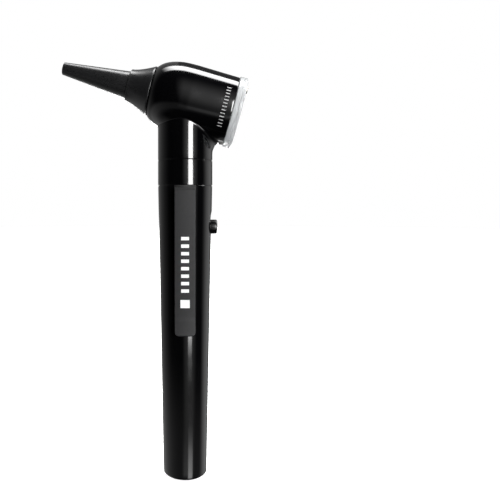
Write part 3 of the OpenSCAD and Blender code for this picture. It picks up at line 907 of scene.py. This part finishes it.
class OTOSCOPE_OT_lens(bpy.types.Operator):
    """Build the clear lens ring, the lens and the pivot rivet with its washer"""

    bl_idname = "otoscope.lens"
    bl_label = "Lens and pivot"

    def execute(self, context):
        sizes = context.scene.otoscope_lens
        ring_r = (RING_BOX[1].y - RING_BOX[0].y) / 2
        half_t = (RING_BOX[1].x - RING_BOX[0].x - 2 * ring_r * abs(HEAD_UP.x)) / 2 / VIEW_AXIS.x
        middle = (RING_CENTRE - HEAD_CENTRE).length
        low, high = middle - half_t, middle + half_t
        line = middle + 0.2 * MM
        skin = Skin()
        lathe(skin, rounded([
            (sizes.lens_r, low, 0.2 * MM), (ring_r, low, 0.35 * MM),
            (ring_r, line - sizes.line, 0), (ring_r - sizes.line, line, 0),
            (ring_r, line + sizes.line, 0), (ring_r, high, 0.5 * MM),
            (sizes.lens_r + 1.2 * MM, high, 0.2 * MM), (sizes.lens_r, high - 0.5 * MM, 0.3 * MM)]),
            steps=192, place=HEAD)
        boss = HEAD @ Matrix.Translation((0, PIVOT.y, 0))
        lathe(skin, rounded([
            (sizes.pivot_r + 0.05 * MM, low, 0), (sizes.boss_r, low, 0.15 * MM),
            (sizes.boss_r, high, 0.25 * MM), (sizes.pivot_r + 0.05 * MM, high, 0)]),
            steps=64, place=boss)
        ring = skin.make("lens_mount", material("clear_acrylic"))
        hang(ring, "lens", "clear_acrylic", "lens_ring")
        self.ground_lens(sizes, middle)
        self.rivet(sizes, boss, high)
        return {"FINISHED"}

    def ground_lens(self, sizes, middle):
        """Biconvex lens, notched round the boss."""
        r = sizes.lens_r - 0.02 * MM
        rim = 0.55 * MM
        ball = (r * r + sizes.sag ** 2) / (2 * sizes.sag)
        notch = sizes.boss_r + 0.02 * MM
        turns = np.linspace(0, 2 * math.pi, 192, endpoint=False)

        def edge_r(turn):
            """Radius of the lens's edge in a direction, cut back round the boss."""
            up = math.sin(turn)
            off = abs(math.cos(turn)) * PIVOT.y
            if up > 0 and off < notch:
                return min(r, up * PIVOT.y - math.sqrt(notch ** 2 - off ** 2))
            return r

        def crown(out):
            return math.sqrt(ball * ball - out * out) - (ball - sizes.sag)

        skin = Skin()
        edges = []
        for side in (1, -1):
            last = None
            for share in np.linspace(0.08, 1, 14):
                ring = skin.ring(HEAD @ Vector((
                    share * edge_r(t) * math.cos(t), share * edge_r(t) * math.sin(t),
                    middle + side * (rim + crown(share * edge_r(t))))) for t in turns)
                if last is None:
                    skin.cap(ring, HEAD @ Vector((0, 0, middle + side * (rim + sizes.sag))))
                else:
                    skin.band(last, ring)
                last = ring
            edges.append(last)
        skin.band(*edges)
        piece = skin.make("ground_lens", material("lens_acrylic"))
        hang(piece, "lens", "clear_acrylic", "magnifier_lens")

    def rivet(self, sizes, place, high):
        """Hollow rivet through the boss, on a thin washer."""
        skin = Skin()
        head = high + 0.3 * MM
        shank_end = bpy.context.scene.otoscope_head.rear - 6.4 * MM
        lathe(skin, rounded([
            (0, shank_end, 0), (sizes.pivot_r, shank_end, 0.1 * MM), (sizes.pivot_r, head, 0),
            (sizes.rivet_r, head, 0.08 * MM), (sizes.rivet_r, head + 0.7 * MM, 0.35 * MM),
            (0.85 * MM, head + 0.7 * MM, 0.15 * MM), (0.7 * MM, head - 0.5 * MM, 0.1 * MM),
            (0, head - 0.5 * MM, 0)]), steps=64, place=place, closed=False)
        piece = skin.make("pivot_rivet", material("nickel_plate"))
        hang(piece, "head", "nickel_plate", "lens_pivot_screw")
        skin = Skin()
        inner, outer = sizes.pivot_r + 0.02 * MM, 1.95 * MM
        low, top = high + 0.05 * MM, head
        lathe(skin, rounded([(inner, low, 0), (outer, low, 0.08 * MM),
                             (outer, top, 0.08 * MM), (inner, top, 0)]), steps=64, place=place)
        piece = skin.make("thin_washer", material("nickel_plate"))
        hang(piece, "head", "nickel_plate", "pivot_washer")


# ------------------------------------------------------------------ repeated pieces

def node_group(name, inputs):
    """A geometry tree with named inputs (name, kind, value), and its input node."""
    tree = bpy.data.node_groups.new(name, "GeometryNodeTree")
    for label, kind, value in inputs:
        socket = tree.interface.new_socket(label, in_out="INPUT", socket_type="NodeSocket" + kind)
        if kind != "Material":
            socket.default_value = value
    tree.interface.new_socket("Geometry", in_out="OUTPUT", socket_type="NodeSocketGeometry")
    return tree, tree.nodes.new("NodeGroupInput")


def close_group(tree, entry, geometry):
    """Ends a geometry tree: real geometry with its finish on."""
    real = add(tree, "GeometryNodeRealizeInstances", inputs={"Geometry": geometry})
    painted = add(tree, "GeometryNodeSetMaterial", inputs={
        "Geometry": real.outputs[0], "Material": entry.outputs["Finish"]})
    add(tree, "NodeGroupOutput", inputs={"Geometry": painted.outputs[0]})


def grown(name, tree, values, place=Matrix.Identity(4)):
    """A plain mesh grown by a geometry tree with the given input values."""
    holder = bpy.data.objects.new(name, bpy.data.meshes.new(name))
    bpy.context.scene.collection.objects.link(holder)
    modifier = holder.modifiers.new("grow", "NODES")
    modifier.node_group = tree
    for socket in tree.interface.items_tree:
        if socket.in_out == "INPUT" and socket.name in values:
            modifier[socket.identifier] = values[socket.name]
    holder.update_tag()
    graph = bpy.context.evaluated_depsgraph_get()
    mesh = bpy.data.meshes.new_from_object(holder.evaluated_get(graph), depsgraph=graph)
    holder.modifiers.remove(modifier)
    holder.data = mesh
    mesh.name = name
    mesh.transform(place)
    return holder


def coil_group():
    """Wire wound along the Z axis, from one radius to another."""
    tree, entry = node_group("wound_wire", (
        ("Lower Radius", "Float", 6 * MM), ("Upper Radius", "Float", 3 * MM),
        ("Height", "Float", 10 * MM), ("Turns", "Float", 5.0), ("Wire Radius", "Float", 0.4 * MM),
        ("Steps", "Int", 48), ("Sides", "Int", 12), ("Finish", "Material", None)))
    spiral = add(tree, "GeometryNodeCurveSpiral", inputs={
        "Resolution": entry.outputs["Steps"], "Rotations": entry.outputs["Turns"],
        "Start Radius": entry.outputs["Lower Radius"], "End Radius": entry.outputs["Upper Radius"],
        "Height": entry.outputs["Height"]})
    wire = add(tree, "GeometryNodeCurvePrimitiveCircle", inputs={
        "Resolution": entry.outputs["Sides"], "Radius": entry.outputs["Wire Radius"]})
    swept = add(tree, "GeometryNodeCurveToMesh", inputs={
        "Curve": spiral.outputs[0], "Profile Curve": wire.outputs[0], "Fill Caps": True})
    smooth = add(tree, "GeometryNodeSetShadeSmooth", inputs={"Geometry": swept.outputs[0]})
    close_group(tree, entry, smooth.outputs[0])
    return tree


def fibre_group():
    """Fibre ends scattered on a flat ring round the Z axis."""
    tree, entry = node_group("fibre_ends", (
        ("Ring Radius", "Float", 2.5 * MM), ("Spread", "Float", 0.1 * MM),
        ("Fibre Radius", "Float", 0.04 * MM), ("Count", "Int", 150), ("Seed", "Int", 7),
        ("Finish", "Material", None)))
    ring = add(tree, "GeometryNodeCurvePrimitiveCircle", inputs={
        "Resolution": entry.outputs["Count"], "Radius": entry.outputs["Ring Radius"]})
    points = add(tree, "GeometryNodeCurveToPoints", {"mode": "EVALUATED"}, {
        "Curve": ring.outputs[0]})
    stray = add(tree, "FunctionNodeRandomValue", {"data_type": "FLOAT_VECTOR"}, {
        "Min": (-1, -1, 0), "Max": (1, 1, 0), "Seed": entry.outputs["Seed"]})
    shift = add(tree, "ShaderNodeVectorMath", {"operation": "SCALE"}, {
        0: stray.outputs[0], "Scale": entry.outputs["Spread"]})
    moved = add(tree, "GeometryNodeSetPosition", inputs={
        "Geometry": points.outputs[0], "Offset": shift.outputs[0]})
    ends = add(tree, "GeometryNodeMeshUVSphere", inputs={
        "Segments": 8, "Rings": 5, "Radius": entry.outputs["Fibre Radius"]})
    dots = add(tree, "GeometryNodeInstanceOnPoints", inputs={
        "Points": moved.outputs[0], "Instance": ends.outputs[0]})
    close_group(tree, entry, dots.outputs[0])
    return tree


def dash_group():
    """Dashes set along the Z axis from the origin, or round it on an arc of a given radius."""
    tree, entry = node_group("dashes", (
        ("Count", "Int", 8), ("Pitch", "Float", 3 * MM), ("Width", "Float", 2 * MM),
        ("Height", "Float", 1 * MM), ("Depth", "Float", 0.02 * MM), ("Bend Radius", "Float", 0.0),
        ("Finish", "Material", None)))
    line = add(tree, "GeometryNodeMeshLine", {"mode": "OFFSET"}, {"Count": entry.outputs["Count"]})
    number = add(tree, "GeometryNodeInputIndex")
    run = maths(tree, "MULTIPLY", number.outputs[0], entry.outputs["Pitch"])
    turn = maths(tree, "DIVIDE", run, maths(tree, "MAXIMUM", entry.outputs["Bend Radius"], 1e-6))
    flat = maths(tree, "LESS_THAN", entry.outputs["Bend Radius"], 1e-5)
    turn = maths(tree, "MULTIPLY", turn, maths(tree, "SUBTRACT", 1.0, flat))
    place = add(tree, "ShaderNodeCombineXYZ", inputs={
        0: maths(tree, "MULTIPLY", entry.outputs["Bend Radius"], maths(tree, "SINE", turn)),
        1: maths(tree, "MULTIPLY", entry.outputs["Bend Radius"], maths(tree, "COSINE", turn)),
        2: maths(tree, "MULTIPLY", flat, run)})
    placed = add(tree, "GeometryNodeSetPosition", inputs={
        "Geometry": line.outputs[0], "Position": place.outputs[0]})
    size = add(tree, "ShaderNodeCombineXYZ", inputs={
        0: entry.outputs["Width"], 1: entry.outputs["Depth"], 2: entry.outputs["Height"]})
    dash = add(tree, "GeometryNodeMeshCube", inputs={"Size": size.outputs[0]})
    lean = add(tree, "ShaderNodeCombineXYZ", inputs={2: maths(tree, "MULTIPLY", turn, -1.0)})
    dashes = add(tree, "GeometryNodeInstanceOnPoints", inputs={
        "Points": placed.outputs[0], "Instance": dash.outputs[0], "Rotation": lean.outputs[0]})
    close_group(tree, entry, dashes.outputs[0])
    return tree


class OTOSCOPE_OT_springs(bpy.types.Operator):
    """Wind the battery spring and the thread of the spigot, and set the fibre ends"""

    bl_idname = "otoscope.springs"
    bl_label = "Spring, thread and fibre ends"

    def execute(self, context):
        coil = coil_group()
        low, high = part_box("battery_spring")
        wire = 0.4 * MM
        spring = grown("cell_spring", coil, {
            "Lower Radius": (high.x - low.x) / 2 - wire, "Upper Radius": 2.6 * MM,
            "Height": high.z - low.z - 2 * wire, "Turns": 5.0, "Wire Radius": wire,
            "Finish": material("spring_steel")}, Matrix.Translation((0, 0, low.z + wire)))
        hang(spring, "handle", "spring_steel", "battery_spring")
        self.spigot(coil)
        ends = grown("fibre_ends", fibre_group(), {
            "Ring Radius": 2.54 * MM, "Finish": material("light_guide")},
            HEAD @ Matrix.Translation((0, 0, -NOSE_TIP)))
        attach(ends, "head")
        return {"FINISHED"}

    def spigot(self, coil):
        """Metal spigot with its thread, in place of the plain one."""
        low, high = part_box("threaded_spigot")
        top = COLLAR_BOX[1].z
        seat = bpy.context.scene.otoscope_handle
        root = 8.15 * MM
        outer = (high.x - low.x) / 2
        skin = Skin()
        lathe(skin, rounded([
            (seat.bore_r, low.z, 0), (outer - 0.07 * MM, low.z, 0), (outer - 0.07 * MM, top, 0),
            (root, top, 0), (root, high.z, 0.3 * MM), (seat.bore_r, high.z, 0.15 * MM)]), steps=96)
        piece = skin.make("spigot_tube", material("nickel_plate"))
        hang(piece, "handle", "nickel_plate", "threaded_spigot")
        lead = (high.z - top) / 3
        crest = 0.36 * MM
        thread = grown("spigot_thread", coil, {
            "Lower Radius": root + 0.04 * MM, "Upper Radius": root + 0.04 * MM,
            "Height": lead * 2.6, "Turns": 2.6, "Wire Radius": crest, "Steps": 72,
            "Finish": material("nickel_plate")}, Matrix.Translation((0, 0, top + crest + 0.1 * MM)))
        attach(thread, "handle")


class OTOSCOPE_OT_marks(bpy.types.Operator):
    """Print plain dashes on the clip and on the head"""

    bl_idname = "otoscope.marks"
    bl_label = "Printed marks"

    def execute(self, context):
        dashes = dash_group()
        sizes = context.scene.otoscope_handle
        hinge = Vector(JOINTS["clip_flex"]["pos_m"])
        # the clip's face leans in towards its fold
        fold_z = CLIP_BOX[0].z + 5.9 * MM
        fold_y = handle_r(sizes, fold_z) + 0.55 * MM
        lean = math.atan2(-hinge.y - fold_y, hinge.z - fold_z)
        up = Matrix.Translation((0, -fold_y, fold_z)) @ Matrix.Rotation(lean, 4, "X")
        out = -0.505 * MM
        white = material("mark_white")
        for name, start, values in (
                ("clip_marks", 11.5 * MM, {
                    "Count": 8, "Pitch": 2.9 * MM, "Width": 3.0 * MM, "Height": 1.3 * MM}),
                ("clip_mark_foot", 6.4 * MM, {
                    "Count": 1, "Pitch": 1 * MM, "Width": 3.6 * MM, "Height": 3.2 * MM})):
            piece = grown(name, dashes, {**values, "Finish": white},
                          up @ Matrix.Translation((0, out, start)))
            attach(piece, "clip_arm")
        head = context.scene.otoscope_head
        place = 15.6 * MM
        r = barrel_r(head, place) + 0.012 * MM
        first = Matrix.Rotation(math.radians(128), 4, "Z")
        turned = HEAD @ Matrix.Translation((0, 0, place)) @ first
        fine = grown("head_marks", dashes, {
            "Count": 13, "Pitch": 1.3 * MM, "Width": 0.3 * MM, "Height": 1.9 * MM,
            "Bend Radius": r, "Finish": material("mark_grey")}, turned)
        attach(fine, "head")
        return {"FINISHED"}


# ------------------------------------------------------------------ inside

class OTOSCOPE_OT_inside(bpy.types.Operator):
    """Give the parts inside the handle and the head their finishes"""

    bl_idname = "otoscope.inside"
    bl_label = "Inner parts"

    def execute(self, context):
        slots = {part["node"]: part["material_slot"] for part in frame["record"]["subparts"]}
        for name, node in frame["nodes"].items():
            if node.hide_render:
                continue
            node.data.materials.clear()
            node.data.materials.append(material(slots[name]))
        return {"FINISHED"}


# ------------------------------------------------------------------ stage

# Soft panels of the room: strength, then spans of an angle in degrees (axis, middle, half
# width, soft edge). Turn runs round the upright axis from the viewer to the right, lift
# is the height above the horizon, over runs from the viewer up and over to the back, and
# aside leans to the right. Either is the turn to either side.
PANELS = (
    (0.03, (("lift", 0, 90, 0),)),
    # key strip right of the viewer, with its soft skirt
    (28.0, (("turn", 22.8, 7.6, 2.5), ("lift", 3, 13, 8))),
    (0.8, (("turn", 21.5, 10, 26), ("lift", 12, 4, 50))),
    # overhead bank
    (15.0, (("over", 98, 9, 4), ("aside", 26, 26, 26))),
    # panel behind on the right, and the pale back wall
    (0.8, (("turn", 116, 6, 34), ("lift", 5, 25, 35))),
    (0.1, (("either", 180, 30, 80), ("lift", 0, 60, 25))),
    (0.22, (("turn", -150, 20, 70), ("lift", 0, 60, 25))),
    # sheet below, lit by the key strip
    (3.6, (("turn", 28, 9, 5), ("lift", -34, 5.5, 4))),
    (0.45, (("turn", 10, 10, 18), ("lift", -31, 2.5, 4))),
    (0.12, (("lift", -31, 4, 10),)),
    (0.2, (("turn", -125, 30, 70), ("lift", -33, 6, 14))),
    # narrow strips far behind, for the back of the otoscope
    (9.0, (("either", 166, 4, 2), ("lift", -24, 18, 6))),
)


SHEET_R = 3.0
SHEET_DROP = 0.2 * MM
# Camera: focal length and sensor in mm, shifts as shares of the sensor, place in metres, then
# how far it looks down and to the left in degrees.
LENS, SENSOR = 38.76, 36
SHIFT = (0.1375, -0.05)
CAMERA_PLACE = (0.0004, -0.2179, 0.107)
LOOK_DOWN, LOOK_LEFT = 1.66, 0.52


class OTOSCOPE_OT_stage(bpy.types.Operator):
    """Set the pale floor, the white surroundings, the lights and the camera"""

    bl_idname = "otoscope.stage"
    bl_label = "Stage"

    def execute(self, context):
        self.surroundings(context.scene)
        self.floor()
        self.camera(context.scene)
        context.scene.view_settings.view_transform = "Standard"
        return {"FINISHED"}

    def surroundings(self, scene):
        """White where it is looked at or seen through the lens. In reflections it is a dim
        room with soft panels, which the angles round the otoscope place."""
        world = bpy.data.worlds.new("studio")
        scene.world = world
        world.use_nodes = True
        tree = world.node_tree
        tree.nodes.clear()
        way = add(tree, "ShaderNodeSeparateXYZ", inputs={
            0: add(tree, "ShaderNodeTexCoord").outputs["Generated"]})
        x, y, z = way.outputs
        to_viewer = maths(tree, "MULTIPLY", y, -1.0)
        turn = maths(tree, "ARCTAN2", x, to_viewer)
        lift = maths(tree, "ARCSINE", z)
        over = maths(tree, "ARCTAN2", z, to_viewer)
        aside = maths(tree, "ARCSINE", x)
        axes = {"turn": turn, "lift": lift, "over": over, "aside": aside,
                "either": maths(tree, "ABSOLUTE", turn)}
        total = None
        for strength, spans in PANELS:
            glow = strength
            for axis, centre, half, soft in spans:
                away = maths(tree, "SUBTRACT", axes[axis], math.radians(centre))
                away = maths(tree, "ABSOLUTE", away)
                share = add(tree, "ShaderNodeMapRange", {"interpolation_type": "SMOOTHSTEP"}, {
                    "Value": away, "From Min": math.radians(half + soft),
                    "From Max": math.radians(half)})
                glow = maths(tree, "MULTIPLY", glow, share.outputs[0])
            total = glow if total is None else maths(tree, "ADD", total, glow)
        path = add(tree, "ShaderNodeLightPath")
        seen = maths(tree, "MAXIMUM", path.outputs["Is Camera Ray"],
                     path.outputs["Is Transmission Ray"])
        white = add(tree, "ShaderNodeBackground", inputs={"Color": (1, 1, 1, 1), "Strength": 1.0})
        room = add(tree, "ShaderNodeBackground", inputs={"Color": (1, 1, 1, 1), "Strength": total})
        mix = add(tree, "ShaderNodeMixShader", inputs={
            0: seen, 1: room.outputs[0], 2: white.outputs[0]})
        add(tree, "ShaderNodeOutputWorld", inputs={"Surface": mix.outputs[0]})

    def floor(self):
        """A round white sheet under the otoscope, which takes its soft shadow."""
        sheet_material, tree = blank_material("white_sheet")
        glow = add(tree, "ShaderNodeEmission", inputs={"Color": (1, 1, 1, 1), "Strength": 0.9})
        sheet = add(tree, "ShaderNodeBsdfDiffuse", inputs={"Color": srgb("#c4c4c4")})
        both = add(tree, "ShaderNodeAddShader", inputs={0: glow.outputs[0], 1: sheet.outputs[0]})
        add(tree, "ShaderNodeOutputMaterial", inputs={"Surface": both.outputs[0]})
        skin = Skin()
        rim = skin.ring(circle(SHEET_R, -SHEET_DROP, 64, Matrix.Identity(4)))
        skin.faces.append(tuple(rim))
        sheet = skin.make("floor", sheet_material)
        # the room's own light from below stands for the sheet in reflections
        sheet.visible_glossy = False
        sheet.visible_diffuse = False

    def camera(self, scene):
        """Camera on the clip's side, looking slightly down."""
        data = bpy.data.cameras.new("camera")
        data.lens, data.sensor_width = LENS, SENSOR
        data.shift_x, data.shift_y = SHIFT
        data.clip_start = 0.01
        camera = bpy.data.objects.new("camera", data)
        camera.location = CAMERA_PLACE
        camera.rotation_euler = (math.radians(90 - LOOK_DOWN), 0, math.radians(LOOK_LEFT))
        scene.collection.objects.link(camera)
        scene.camera = camera


# ------------------------------------------------------------------ add-on

class OTOSCOPE_PT_build(bpy.types.Panel):
    """Lists the steps that build the otoscope."""

    bl_label = "Otoscope"
    bl_space_type = "VIEW_3D"
    bl_region_type = "UI"
    bl_category = "Otoscope"

    def draw(self, context):
        for step in STEPS:
            self.layout.operator(step.bl_idname)


GROUPS = {
    "otoscope_handle": HandleSizes,
    "otoscope_head": HeadSizes,
    "otoscope_lens": LensSizes,
    "otoscope_speculum": SpeculumSizes,
    "otoscope_finishes": Finishes,
}
STEPS = (
    OTOSCOPE_OT_stage,
    OTOSCOPE_OT_handle,
    OTOSCOPE_OT_collar,
    OTOSCOPE_OT_switch,
    OTOSCOPE_OT_clip,
    OTOSCOPE_OT_head,
    OTOSCOPE_OT_nose,
    OTOSCOPE_OT_speculum,
    OTOSCOPE_OT_lens,
    OTOSCOPE_OT_springs,
    OTOSCOPE_OT_marks,
    OTOSCOPE_OT_inside,
)


def register():
    for group in (*GROUPS.values(), *STEPS, OTOSCOPE_PT_build):
        bpy.utils.register_class(group)
    for name, group in GROUPS.items():
        setattr(bpy.types.Scene, name, bpy.props.PointerProperty(type=group))


def unregister():
    for name in GROUPS:
        delattr(bpy.types.Scene, name)
    for group in (OTOSCOPE_PT_build, *reversed(STEPS), *GROUPS.values()):
        bpy.utils.unregister_class(group)


def main():
    register()
    for step in STEPS:
        family, action = step.bl_idname.split(".")
        getattr(getattr(bpy.ops, family), action)()


if __name__ == "__main__":
    main()
